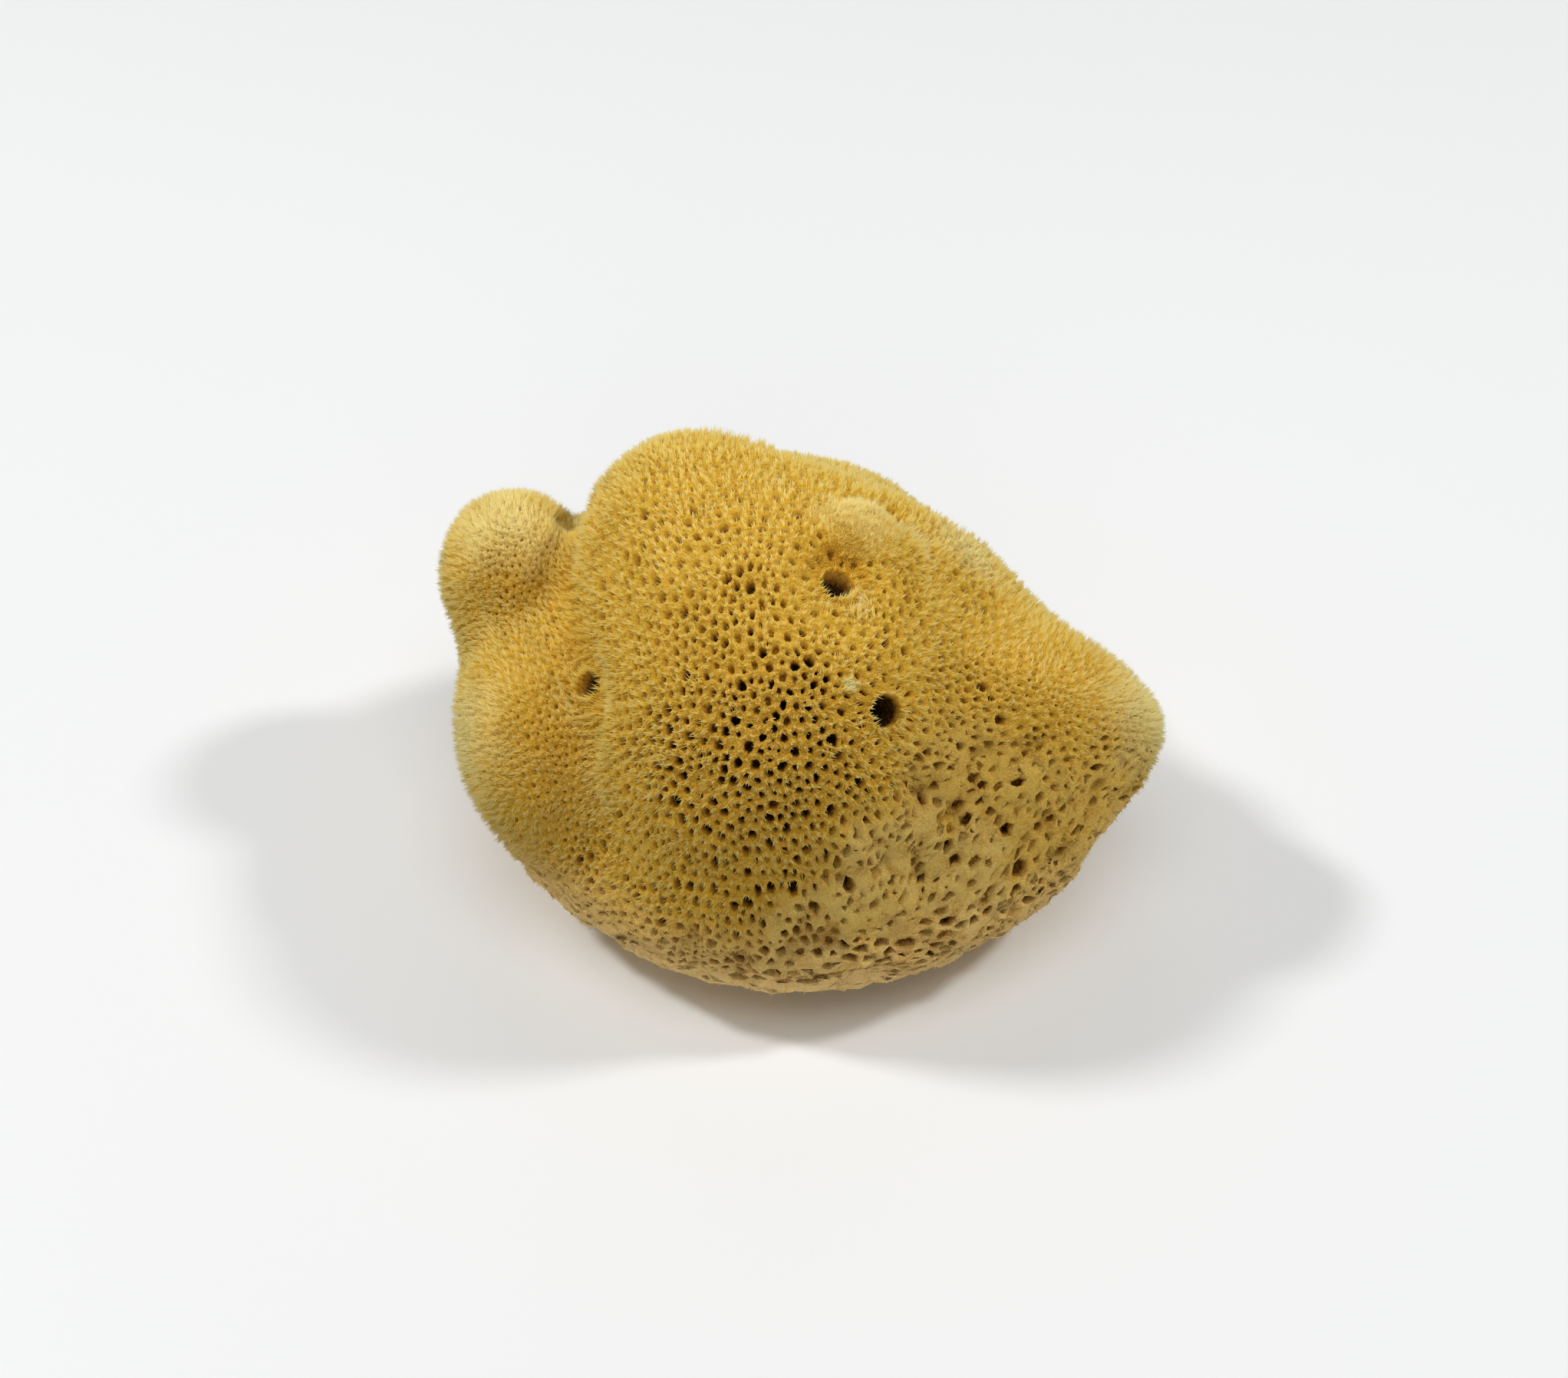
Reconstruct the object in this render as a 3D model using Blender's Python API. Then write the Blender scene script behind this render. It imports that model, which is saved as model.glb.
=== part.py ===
"""A dry sea sponge, cut off flat where it grew on the sea floor and resting on that cut.

The sponge grew as one piece, so it is one closed solid. Its form is a cluster of round lobes that
run into each other. The skin is a net of small cells with raised rims, each pushed in at its
middle, which gives the honeycomb of pits. A few large round openings, the oscula, go deeper.
Metres, +Z up. The side that the camera sees is -Y, and the cut lies on z = 0.
"""
import math

import bmesh
import bpy
import numpy as np
from mathutils import Vector

MM = 0.001

# The lobes in millimetres: name, middle, radii, and how softly it runs into the lobes before it.
DOME_LOBES = (
    ("body", (-1.0, -0.5, 34.0), (31.5, 37.5, 32.5), 0.0),
    ("crown", (-14.0, 16.0, 37.0), (20.5, 27.5, 25.5), 7.0),
    ("back", (3.5, 32.0, 29.0), (22.5, 17.0, 18.0), 9.0),
    ("ridge", (20.5, 11.0, 41.5), (17.5, 12.0, 12.0), 9.0),
    ("right", (28.5, -5.0, 33.5), (20.5, 19.0, 15.5), 8.0),
    ("tip", (45.5, -3.5, 26.0), (13.0, 9.5, 12.5), 10.0),
    ("flank", (30.0, -10.0, 23.0), (17.0, 16.5, 14.0), 9.0),
    ("bump", (11.5, 2.5, 57.5), (8.0, 4.5, 5.5), 3.0),
)
SIDE_LOBES = (
    ("left", (-33.5, 1.5, 26.5), (17.5, 23.5, 16.5), 0.0),
    ("neck", (-41.5, 18.0, 32.0), (10.0, 10.5, 10.0), 6.0),
    ("knob", (-42.5, 21.5, 38.0), (11.5, 13.5, 12.0), 4.0),
)
SKIRT_LOBES = (("skirt", (2.5, -4.0, 13.0), (43.5, 37.0, 17.0), 14.0),)
RIDGE_LEAN = math.radians(25.0)
VALLEY_BLEND = 4.0
SLOPE_STEP = 0.1

# Soft hollows in millimetres: middle on the skin, reach and depth.
HOLLOWS = (
    ((8.0, -10.0, 64.0), 5.0, 2.5),
    ((-28.0, -13.0, 46.5), 4.5, 1.5),
    ((35.5, -19.5, 42.0), 4.0, 1.5),
)

# The oscula in millimetres: a point near the skin, the width of the opening and its depth.
# The first three show in the photo. The others sit on the hidden sides, where such a sponge has them.
OSCULA = (
    ((8.0, -9.8, 62.0), 5.0, 11.0),
    ((14.4, -24.4, 53.3), 4.8, 12.0),
    ((-28.2, -12.9, 46.0), 4.2, 8.0),
    ((-8.0, 32.0, 58.0), 4.6, 10.0),
    ((26.0, 20.0, 46.0), 4.4, 9.0),
    ((-20.0, 44.0, 34.0), 4.2, 8.0),
)

# The ball that is shrunk onto the lobes
BALL_CUTS = 40
BALL_MIDDLE = (-1.0, 1.0, 30.0)
BALL_REACH = 95.0
BALL_STEPS = 60
BALL_STEP = 0.6

# The net of cells, in millimetres
EVEN_SIZE = 1.4
CELLS = 1640
RELAX_ROUNDS = 12
RELAX_STEP = 0.6
SHAKE = 0.35
SHAKE_ROUNDS = 3
SEED = 7

# The pits, in millimetres
PIT_DEPTH = 1.5
PIT_DEPTH_SPREAD = 0.45
SHALLOW_BELOW = 1.5
FULL_ABOVE = 5.0
MERGE_AT_CUT = 0.02

# Each ring of an osculum's wall: its width as a share of the mouth's, and its depth as a share of the whole.
OSCULUM_WALLS = ((0.82, 0.35), (0.5, 1.0))
INSET = 0.15

# The colour and surface of dry spongin fibre
HONEY = (0.503, 0.283, 0.045, 1.0)
ROUGHNESS = 0.95
SHARP_ANGLE = math.radians(25.0)


def clear_objects():
    for old in list(bpy.data.objects):
        bpy.data.objects.remove(old, do_unlink=True)


def leaned(offsets, angle):
    """Turn offsets about the Y axis, into the frame of a lobe that leans by the angle."""
    c = math.cos(angle)
    s = math.sin(angle)
    x = offsets[:, 0] * c - offsets[:, 2] * s
    z = offsets[:, 0] * s + offsets[:, 2] * c
    return np.stack([x, offsets[:, 1], z], axis=1)


def lobe_distance(points, name, middle, radii):
    """About how far each point is outside one ellipsoid lobe, below zero inside it."""
    offsets = points - np.array(middle)
    if name == "ridge":
        offsets = leaned(offsets, RIDGE_LEAN)
    scaled = offsets / np.array(radii)
    reach = np.linalg.norm(scaled, axis=1)
    slope = np.linalg.norm(scaled / np.array(radii), axis=1)
    return reach * (reach - 1.0) / np.maximum(slope, 1e-6)


def soft_union(a, b, blend):
    """The nearer of two distances, rounded off where the two are alike."""
    if blend <= 0.0:
        return np.minimum(a, b)
    mix = np.clip(0.5 + 0.5 * (b - a) / blend, 0.0, 1.0)
    return b * (1.0 - mix) + a * mix - blend * mix * (1.0 - mix)


def cluster_distance(points, lobes, start=None):
    """The distance to a cluster of lobes, each run softly into those before it."""
    total = start
    for name, middle, radii, blend in lobes:
        one = lobe_distance(points, name, middle, radii)
        total = one if total is None else soft_union(total, one, blend)
    return total


def skin_distance(points):
    """The distance to the sponge's skin, without its pits."""
    dome = cluster_distance(points, DOME_LOBES)
    side = cluster_distance(points, SIDE_LOBES)
    total = soft_union(dome, side, VALLEY_BLEND)
    total = cluster_distance(points, SKIRT_LOBES, total)
    for middle, reach, depth in HOLLOWS:
        away = np.linalg.norm(points - np.array(middle), axis=1) / reach
        total = total + depth * np.exp(-0.5 * away * away)
    return total


def skin_slope(points, step=SLOPE_STEP):
    """The slope of the distance, which points straight out of the skin."""
    slope = np.zeros_like(points)
    for axis in range(3):
        move = np.zeros(3)
        move[axis] = step
        slope[:, axis] = (skin_distance(points + move) - skin_distance(points - move)) / (2.0 * step)
    return slope


def onto_skin(points, rounds=3):
    """Move points along the slope until they lie on the skin."""
    for _ in range(rounds):
        slope = skin_slope(points)
        steepness = np.maximum((slope * slope).sum(axis=1), 0.05)
        points = points - slope * (skin_distance(points) / steepness)[:, None]
    return points


def shrunk_ball():
    """A dense ball, shrunk along its rays onto the lobes."""
    ball = bmesh.new()
    bmesh.ops.create_icosphere(ball, subdivisions=1, radius=1.0)
    bmesh.ops.subdivide_edges(ball, edges=ball.edges[:], cuts=BALL_CUTS, use_grid_fill=True)
    rays = np.array([vertex.co.normalized()[:] for vertex in ball.verts])
    middle = np.array(BALL_MIDDLE)
    reach = np.full(len(rays), BALL_REACH)
    for _ in range(BALL_STEPS):
        reach = reach - BALL_STEP * np.maximum(skin_distance(middle + rays * reach[:, None]), 0.0)
    for vertex, place in zip(ball.verts, middle + rays * reach[:, None]):
        vertex.co = place
    mesh = bpy.data.meshes.new("ball")
    ball.to_mesh(mesh)
    ball.free()
    return mesh


def evaluated(work):
    """The mesh of an object as its modifiers make it."""
    bpy.context.view_layer.update()
    graph = bpy.context.evaluated_depsgraph_get()
    return bpy.data.meshes.new_from_object(work.evaluated_get(graph))


def start_net():
    """A net of triangles of about one size all over the lobes."""
    work = bpy.data.objects.new("net", shrunk_ball())
    bpy.context.scene.collection.objects.link(work)
    remesh = work.modifiers.new("even", "REMESH")
    remesh.mode = "VOXEL"
    remesh.voxel_size = EVEN_SIZE
    work.modifiers.new("triangles", "TRIANGULATE")
    fine = len(evaluated(work).polygons)
    thin = work.modifiers.new("thin", "DECIMATE")
    thin.ratio = 2.0 * CELLS / fine
    net = bmesh.new()
    net.from_mesh(evaluated(work))
    bpy.data.objects.remove(work, do_unlink=True)
    net.verts.index_update()
    return net, onto_skin(np.array([vertex.co[:] for vertex in net.verts]))


def neighbour_mean(points, edges, counts):
    """The mean of each point's neighbours along the net's edges."""
    total = np.zeros_like(points)
    np.add.at(total, edges[:, 0], points[edges[:, 1]])
    np.add.at(total, edges[:, 1], points[edges[:, 0]])
    return total / counts[:, None]


def relaxed(points, edges, held, rounds):
    """Even out the spacing of the net on the skin, and keep the held points where they are."""
    counts = np.bincount(edges.ravel(), minlength=len(points)).astype(float)
    for _ in range(rounds):
        moved = points + RELAX_STEP * (neighbour_mean(points, edges, counts) - points)
        moved[held] = points[held]
        points = onto_skin(moved, 1)
    return points


def even_net():
    """The net with a point at each osculum, evenly spread and then slightly disordered."""
    net, points = start_net()
    edges = np.array([[vertex.index for vertex in edge.verts] for edge in net.edges])
    points = relaxed(points, edges, [], RELAX_ROUNDS)
    marks = onto_skin(np.array([mark for mark, width, depth in OSCULA]))
    held = [int(np.argmin(np.linalg.norm(points - mark, axis=1))) for mark in marks]
    points[held] = marks
    shake = np.random.default_rng(SEED).normal(0.0, SHAKE, points.shape)
    shake[held] = 0.0
    points = relaxed(points + shake, edges, held, SHAKE_ROUNDS)
    for vertex, place in zip(net.verts, points):
        vertex.co = place
    return net, held


def faces_round(vertex):
    """The triangles round a point of the net, in order."""
    first = vertex.link_loops[0]
    loop = first
    ring = []
    while True:
        ring.append(loop.face.index)
        loop = loop.link_loop_prev.link_loop_radial_next
        if loop == first:
            return ring


def cells_of(net, held):
    """Turn the net inside out: a cell round every point, with its corners on the skin."""
    net.faces.index_update()
    middles = np.array([face.calc_center_median()[:] for face in net.faces])
    cells = bmesh.new()
    corners = [cells.verts.new(place) for place in onto_skin(middles)]
    faces = [cells.faces.new([corners[i] for i in faces_round(vertex)]) for vertex in net.verts]
    bmesh.ops.recalc_face_normals(cells, faces=cells.faces[:])
    return cells, [faces[i] for i in held]


def set_width(face, width):
    """Spread a cell's corners round its middle until it is as wide as asked."""
    middle = face.calc_center_median()
    for vertex in face.verts:
        arm = vertex.co - middle
        vertex.co = middle + arm.normalized() * (0.5 * width)


def sink_osculum(cells, face, width, depth):
    """Open one osculum: a round mouth whose wall goes in and narrows to a closed end."""
    inwards = -face.normal.copy()
    middle = face.calc_center_median()
    for narrowing, share in OSCULUM_WALLS:
        bmesh.ops.inset_individual(cells, faces=[face], thickness=INSET, use_even_offset=False)
        target = middle + inwards * (depth * share)
        here = face.calc_center_median()
        for vertex in face.verts:
            arm = (vertex.co - here).normalized()
            vertex.co = target + arm * (0.5 * width * narrowing)


def sink_pits(cells, mouths):
    """Push every other cell in at its middle, less so close to the cut."""
    plain = [face for face in cells.faces if face not in mouths]
    centres = bmesh.ops.poke(cells, faces=plain)["verts"]
    places = np.array([vertex.co[:] for vertex in centres])
    outwards = skin_slope(places)
    outwards = outwards / np.linalg.norm(outwards, axis=1)[:, None]
    spread = np.random.default_rng(SEED + 1).uniform(-1.0, 1.0, len(centres))
    room = np.clip((places[:, 2] - SHALLOW_BELOW) / (FULL_ABOVE - SHALLOW_BELOW), 0.0, 1.0)
    sink = (PIT_DEPTH + PIT_DEPTH_SPREAD * spread) * room
    for vertex, place in zip(centres, places - outwards * sink[:, None]):
        vertex.co = place


def cut_flat(cells):
    """Cut the sponge off flat at z = 0 and close the cut with one flat face."""
    everything = cells.verts[:] + cells.edges[:] + cells.faces[:]
    bmesh.ops.bisect_plane(
        cells, geom=everything, dist=MERGE_AT_CUT, plane_co=(0, 0, 0), plane_no=(0, 0, -1), clear_outer=True
    )
    rim = [edge for edge in cells.edges if edge.is_boundary]
    bmesh.ops.contextual_create(cells, geom=rim)


def sponge_mesh():
    """The finished solid's mesh, in metres, with the middle of its underside on the origin."""
    net, held = even_net()
    cells, mouths = cells_of(net, held)
    net.free()
    for face, (mark, width, depth) in zip(mouths, OSCULA):
        set_width(face, width)
    sink_pits(cells, set(mouths))
    for face, (mark, width, depth) in zip(mouths, OSCULA):
        sink_osculum(cells, face, width, depth)
    cut_flat(cells)
    bmesh.ops.triangulate(cells, faces=cells.faces[:])
    places = np.array([vertex.co[:] for vertex in cells.verts])
    low = places.min(axis=0)
    high = places.max(axis=0)
    shift = Vector((-(low[0] + high[0]) / 2.0, -(low[1] + high[1]) / 2.0, 0.0))
    bmesh.ops.translate(cells, vec=shift, verts=cells.verts[:])
    bmesh.ops.scale(cells, vec=(MM, MM, MM), verts=cells.verts[:])
    bmesh.ops.recalc_face_normals(cells, faces=cells.faces[:])
    flat = [vertex.co for vertex in cells.verts if vertex.co.z < 1e-6]
    print("shift mm", [round(value, 2) for value in shift])
    print("box mm", (high - low).round(1), "triangles", len(cells.faces))
    print("cut mm", [round((max(c[i] for c in flat) - min(c[i] for c in flat)) / MM, 1) for i in (0, 1)])
    mesh = bpy.data.meshes.new("sponge")
    cells.to_mesh(mesh)
    cells.free()
    return mesh


def spongin_material():
    """Dry spongin fibre: a dull honey colour with no shine."""
    material = bpy.data.materials.new("spongin")
    material.use_nodes = True
    shader = material.node_tree.nodes["Principled BSDF"]
    shader.inputs["Base Color"].default_value = HONEY
    shader.inputs["Roughness"].default_value = ROUGHNESS
    shader.inputs["Metallic"].default_value = 0.0
    return material


def main():
    clear_objects()
    mesh = sponge_mesh()
    mesh.materials.append(spongin_material())
    mesh.shade_smooth()
    mesh.set_sharp_from_angle(angle=SHARP_ANGLE)
    sponge = bpy.data.objects.new("sponge", mesh)
    bpy.context.scene.collection.objects.link(sponge)


main()
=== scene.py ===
# %% [markdown]
# # A natural sea sponge
# A bath sponge is the skeleton of an animal: one open mesh of soft fibre, called spongin, with
# fine pores all over, a few large round openings, and a nap of fibre tips like coarse velvet.
# This lesson dresses the plain solid from the CAD model. It first draws a smooth body inside the
# solid, opens thousands of pores in it, and then grows the nap on the ridges between the pores.

# %% Load the frame
import math

import bmesh
import bpy
import numpy as np
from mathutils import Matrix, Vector, noise
from mathutils.bvhtree import BVHTree


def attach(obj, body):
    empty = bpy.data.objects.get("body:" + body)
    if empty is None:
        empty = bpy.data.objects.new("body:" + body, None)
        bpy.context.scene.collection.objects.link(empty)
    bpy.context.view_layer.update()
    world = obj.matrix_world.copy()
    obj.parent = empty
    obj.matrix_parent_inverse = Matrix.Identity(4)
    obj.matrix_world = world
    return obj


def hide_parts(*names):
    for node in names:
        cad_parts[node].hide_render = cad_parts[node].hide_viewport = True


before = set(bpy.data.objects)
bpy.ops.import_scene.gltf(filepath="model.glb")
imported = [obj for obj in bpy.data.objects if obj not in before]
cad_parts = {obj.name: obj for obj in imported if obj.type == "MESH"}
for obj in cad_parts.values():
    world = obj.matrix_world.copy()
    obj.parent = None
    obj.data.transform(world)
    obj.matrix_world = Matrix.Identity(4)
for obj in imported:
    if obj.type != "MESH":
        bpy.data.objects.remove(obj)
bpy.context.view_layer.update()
MM = 0.001

# %% [markdown]
# ## Camera, floor and light
# The photo looks down on the sponge from about 45 degrees, with a moderately long lens. The sponge
# lies on a white table between two small soft lamps, which throw its faint double shadow. One big
# lamp could light it as well, but would give a single shadow. So there are two, with a broad lamp
# overhead for the top and weak ones in front and behind, which keep the sides from going dark.

# %% Camera
VIEW_HEIGHT = math.radians(45.0)
VIEW_DISTANCE = 0.400
VIEW_TARGET = Vector((-0.00225, -0.00373, 0.0330))
LENS = 60.0
NEAREST = 0.01


def link(thing):
    bpy.context.scene.collection.objects.link(thing)
    return thing


def aim(thing, target):
    """Turn a camera or a lamp so that it looks at the target."""
    thing.rotation_euler = (target - thing.location).to_track_quat("-Z", "Y").to_euler()


camera = link(bpy.data.objects.new("camera", bpy.data.cameras.new("camera")))
camera.data.lens = LENS
camera.data.clip_start = NEAREST
back_and_up = Vector((0.0, -math.cos(VIEW_HEIGHT), math.sin(VIEW_HEIGHT)))
camera.location = VIEW_TARGET + VIEW_DISTANCE * back_and_up
aim(camera, VIEW_TARGET)
bpy.context.scene.camera = camera
print("camera at", [round(value, 3) for value in camera.location])

# %% Lamps and daylight
# Each lamp: name, angle round the sponge, angle above the table, distance, width, watts
LAMPS = (
    ("lamp left", -105.0, 45.5, 1.2, 0.16, 6.9),
    ("lamp right", 103.0, 44.0, 1.2, 0.16, 5.7),
    ("lamp above", 0.0, 79.0, 1.2, 1.0, 4.5),
    ("lamp in front", 0.0, 22.0, 1.2, 0.8, 1.8),
    ("lamp behind", 180.0, 45.0, 1.4, 0.8, 1.0),
)
SPONGE_MIDDLE = Vector((0.0, 0.0, 0.03))
DAYLIGHT = (0.95, 0.98, 1.0, 1.0)
DAYLIGHT_STRENGTH = 0.11


def soft_lamp(name, azimuth, height, distance, size, watts):
    """A round lamp at an angle round the sponge, 0 towards the camera and 90 to its right."""
    a = math.radians(azimuth)
    h = math.radians(height)
    lamp = link(bpy.data.objects.new(name, bpy.data.lights.new(name, "AREA")))
    lamp.data.shape = "DISK"
    lamp.data.size = size
    lamp.data.energy = watts
    direction = Vector((math.sin(a) * math.cos(h), -math.cos(a) * math.cos(h), math.sin(h)))
    lamp.location = SPONGE_MIDDLE + direction * distance
    aim(lamp, SPONGE_MIDDLE)


for lamp_numbers in LAMPS:
    soft_lamp(*lamp_numbers)

world = bpy.data.worlds.new("daylight")
world.use_nodes = True
background = world.node_tree.nodes["Background"].inputs
background["Color"].default_value = DAYLIGHT
background["Strength"].default_value = DAYLIGHT_STRENGTH
bpy.context.scene.world = world
bpy.context.scene.view_settings.view_transform = "Standard"

# %% [markdown]
# ## Small helpers for shader and geometry trees
# Every finish below is a tree of nodes, and so are the pores and the nap. Two short functions keep
# those trees readable: one adds a node and sets its sockets by name, the other joins two sockets.

# %% Node helpers


def add_node(tree, kind, settings=(), **values):
    """Add a node, set its own settings, then its inputs: a value is set, a socket is joined."""
    node = tree.nodes.new(kind)
    for name, value in dict(settings).items():
        setattr(node, name, value)
    for name, value in values.items():
        key = int(name[1:]) if name[0] == "i" and name[1:].isdigit() else name.replace("_", " ")
        feed(tree, node, key, value)
    return node


def feed(tree, node, key, value):
    """Give one input of a node a plain value or another node's output."""
    if isinstance(value, bpy.types.NodeSocket):
        tree.links.new(value, node.inputs[key])
    elif isinstance(value, bpy.types.Node):
        tree.links.new(value.outputs[0], node.inputs[key])
    else:
        node.inputs[key].default_value = value


def maths(tree, operation, a, b=None, clamp=False):
    """A maths node and its only output."""
    node = add_node(tree, "ShaderNodeMath", {"operation": operation, "use_clamp": clamp}, i0=a)
    if b is not None:
        feed(tree, node, 1, b)
    return node.outputs[0]


def product(tree, value, *factors):
    """A number multiplied by each factor in turn."""
    for factor in factors:
        value = maths(tree, "MULTIPLY", value, factor)
    return value


def scaled(tree, vector, factor):
    """A vector times a number."""
    node = add_node(tree, "ShaderNodeVectorMath", {"operation": "SCALE"}, i0=vector, Scale=factor)
    return node.outputs["Vector"]


def vector_sum(tree, a, b):
    """Two vectors added."""
    node = add_node(tree, "ShaderNodeVectorMath", {"operation": "ADD"}, i0=a, i1=b)
    return node.outputs["Vector"]


def remapped(tree, value, start, stop, at_start, at_stop):
    """A value carried from one range over to another, and held at its ends."""
    node = add_node(tree, "ShaderNodeMapRange", i0=value, i1=start, i2=stop, i3=at_start, i4=at_stop)
    return node.outputs[0]


def new_geometry_tree(name, inputs):
    """A geometry tree with a mesh in and out, and named number inputs with their start values."""
    tree = bpy.data.node_groups.new(name, "GeometryNodeTree")
    tree.interface.new_socket("Geometry", in_out="INPUT", socket_type="NodeSocketGeometry")
    for label, (kind, value) in inputs.items():
        socket = tree.interface.new_socket(label, in_out="INPUT", socket_type=kind)
        if value is not None:
            socket.default_value = value
    tree.interface.new_socket("Geometry", in_out="OUTPUT", socket_type="NodeSocketGeometry")
    return tree, tree.nodes.new("NodeGroupInput"), tree.nodes.new("NodeGroupOutput")


def evaluated(thing):
    """The plain mesh of an object as its modifiers make it."""
    bpy.context.view_layer.update()
    graph = bpy.context.evaluated_depsgraph_get()
    return bpy.data.meshes.new_from_object(thing.evaluated_get(graph), depsgraph=graph)


def grown_mesh(thing, tree, values, name):
    """Run a geometry tree on an object and return the result as a plain mesh."""
    modifier = thing.modifiers.new("grow", "NODES")
    modifier.node_group = tree
    for item in tree.interface.items_tree:
        if item.item_type == "SOCKET" and item.in_out == "INPUT" and item.name in values:
            modifier[item.identifier] = values[item.name]
    mesh = evaluated(thing)
    thing.modifiers.remove(modifier)
    mesh.name = name
    return mesh


def coordinates(mesh):
    """The places of a mesh's points, as an array."""
    flat = np.empty(len(mesh.vertices) * 3, np.float32)
    mesh.vertices.foreach_get("co", flat)
    return flat.reshape(-1, 3).astype(float)


def triangle_count(mesh):
    return sum(len(face.vertices) - 2 for face in mesh.polygons)


# %% [markdown]
# ## The smooth body inside the solid
# On the real sponge, the fibres end in the outline that the eye sees. The CAD solid reaches out to
# those ends and carries coarse pits. The body that the nap grows on is smooth and lies a little
# inside. It could be modelled again by hand, but then it might drift away from the solid, so it is
# made from the solid: the openings are taken out and closed, the pits are dissolved into the cells
# round them, and small voxels and some smoothing make what is left one even surface.

# %% Take out the pits and openings
WELD = 1e-6
OPENING_REACH = 5.0 * MM
RAY_START = 0.05 * MM
CUT_MARGIN = 2.0 * MM
PIT_FOLD = math.radians(-2.0)


def without_pits(mesh):
    """A copy of the solid's mesh whose openings are closed and whose pits are dissolved."""
    skin = bmesh.new()
    skin.from_mesh(mesh)
    bmesh.ops.remove_doubles(skin, verts=skin.verts[:], dist=WELD)
    skin.normal_update()
    solid = BVHTree.FromBMesh(skin)

    def faces_a_wall(vertex):
        return solid.ray_cast(vertex.co + vertex.normal * RAY_START, vertex.normal, OPENING_REACH)[0]

    def sunken(edge):
        return edge.is_manifold and edge.calc_face_angle_signed() < PIT_FOLD

    inner = [vertex for vertex in skin.verts if faces_a_wall(vertex) and vertex.co.z > CUT_MARGIN]
    bmesh.ops.delete(skin, geom=inner, context="VERTS")
    bmesh.ops.holes_fill(skin, edges=[edge for edge in skin.edges if edge.is_boundary])
    pits = [vertex for vertex in skin.verts if all(sunken(edge) for edge in vertex.link_edges)]
    bmesh.ops.dissolve_verts(skin, verts=pits)
    bmesh.ops.recalc_face_normals(skin, faces=skin.faces[:])
    result = bpy.data.meshes.new("skin")
    skin.to_mesh(result)
    skin.free()
    print("inner points", len(inner), "pits dissolved", len(pits))
    return result


# %% Wrap and draw in
WRAP_SIZE = 0.9 * MM
EVEN_FACTOR = 0.5
EVEN_ROUNDS = 14
NAP_ROOM = 0.8 * MM
FLOOR_FADE = 4.0 * MM


def smooth_body():
    """A smooth closed body inside the CAD solid, drawn in by the room that the nap takes."""
    body = link(bpy.data.objects.new("smooth body", without_pits(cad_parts["sponge"].data)))
    wrap = body.modifiers.new("wrap", "REMESH")
    wrap.mode = "VOXEL"
    wrap.voxel_size = WRAP_SIZE
    even = body.modifiers.new("even", "SMOOTH")
    even.factor = EVEN_FACTOR
    even.iterations = EVEN_ROUNDS
    draw_in = body.modifiers.new("draw in", "DISPLACE")
    draw_in.strength = -NAP_ROOM
    draw_in.mid_level = 0.0
    body.data = evaluated(body)
    body.modifiers.clear()
    places = coordinates(body.data)
    near_floor = np.clip((FLOOR_FADE - places[:, 2]) / (FLOOR_FADE - NAP_ROOM), 0.0, 1.0)
    places[:, 2] -= NAP_ROOM * near_floor
    places[:, 2] = np.maximum(places[:, 2], 0.0)
    body.data.vertices.foreach_set("co", places.ravel())
    return body


body = smooth_body()
places = coordinates(body.data)
print("smooth body", len(places), "points, box in mm")
print((places.min(axis=0) / MM).round(1), (places.max(axis=0) / MM).round(1))

# %% [markdown]
# ## A net over the body
# The pores of the sponge lie in a net of cells of about one size, but never in neat rows. A cell
# texture could paint such a net, but it couldn't open real pores. Thinning a fine mesh down to a
# few thousand triangles gives a net of real points, and its triangles come out uneven by
# themselves. A little relaxing evens the sizes, and a little shaking keeps them natural. Each point
# of the net becomes one pore later.

# %% Thin the body's mesh to a net
NET_POINTS = 7150
RELAX_ROUNDS = 8
RELAX_STEP = 0.6
SHAKE = 0.16 * MM
SHAKE_SEED = 11
SETTLE_STEP = 0.3


def thin_net(body):
    """The body's surface as a net of a few thousand uneven triangles."""
    net = link(bpy.data.objects.new("net", body.data.copy()))
    net.modifiers.new("triangles", "TRIANGULATE")
    fine = triangle_count(net.data)
    thin = net.modifiers.new("thin", "DECIMATE")
    thin.ratio = 2.0 * NET_POINTS / fine
    mesh = evaluated(net)
    bpy.data.objects.remove(net, do_unlink=True)
    return mesh


def neighbour_means(places, edges):
    """The mean place of each point's neighbours."""
    total = np.zeros_like(places)
    np.add.at(total, edges[:, 0], places[edges[:, 1]])
    np.add.at(total, edges[:, 1], places[edges[:, 0]])
    return total / np.bincount(edges.ravel(), minlength=len(places))[:, None]


def back_onto(surface, places):
    """The nearest places on a surface."""
    return np.array([surface.find_nearest(place)[0][:] for place in places])


def even_out(mesh, surface):
    """Relax the net on the surface, shake it a little, and relax it once more."""
    edges = np.empty(len(mesh.edges) * 2, np.int32)
    mesh.edges.foreach_get("vertices", edges)
    edges = edges.reshape(-1, 2)
    places = coordinates(mesh)
    for _ in range(RELAX_ROUNDS):
        places = back_onto(surface, places + RELAX_STEP * (neighbour_means(places, edges) - places))
    places += np.random.default_rng(SHAKE_SEED).normal(0.0, SHAKE, places.shape)
    places = back_onto(surface, places + SETTLE_STEP * (neighbour_means(places, edges) - places))
    mesh.vertices.foreach_set("co", places.ravel())
    mesh.update()


surface = BVHTree.FromPolygons(
    [vertex.co[:] for vertex in body.data.vertices], [face.vertices[:] for face in body.data.polygons]
)
net_mesh = thin_net(body)
even_out(net_mesh, surface)
print("net", len(net_mesh.vertices), "points", len(net_mesh.polygons), "triangles")

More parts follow.
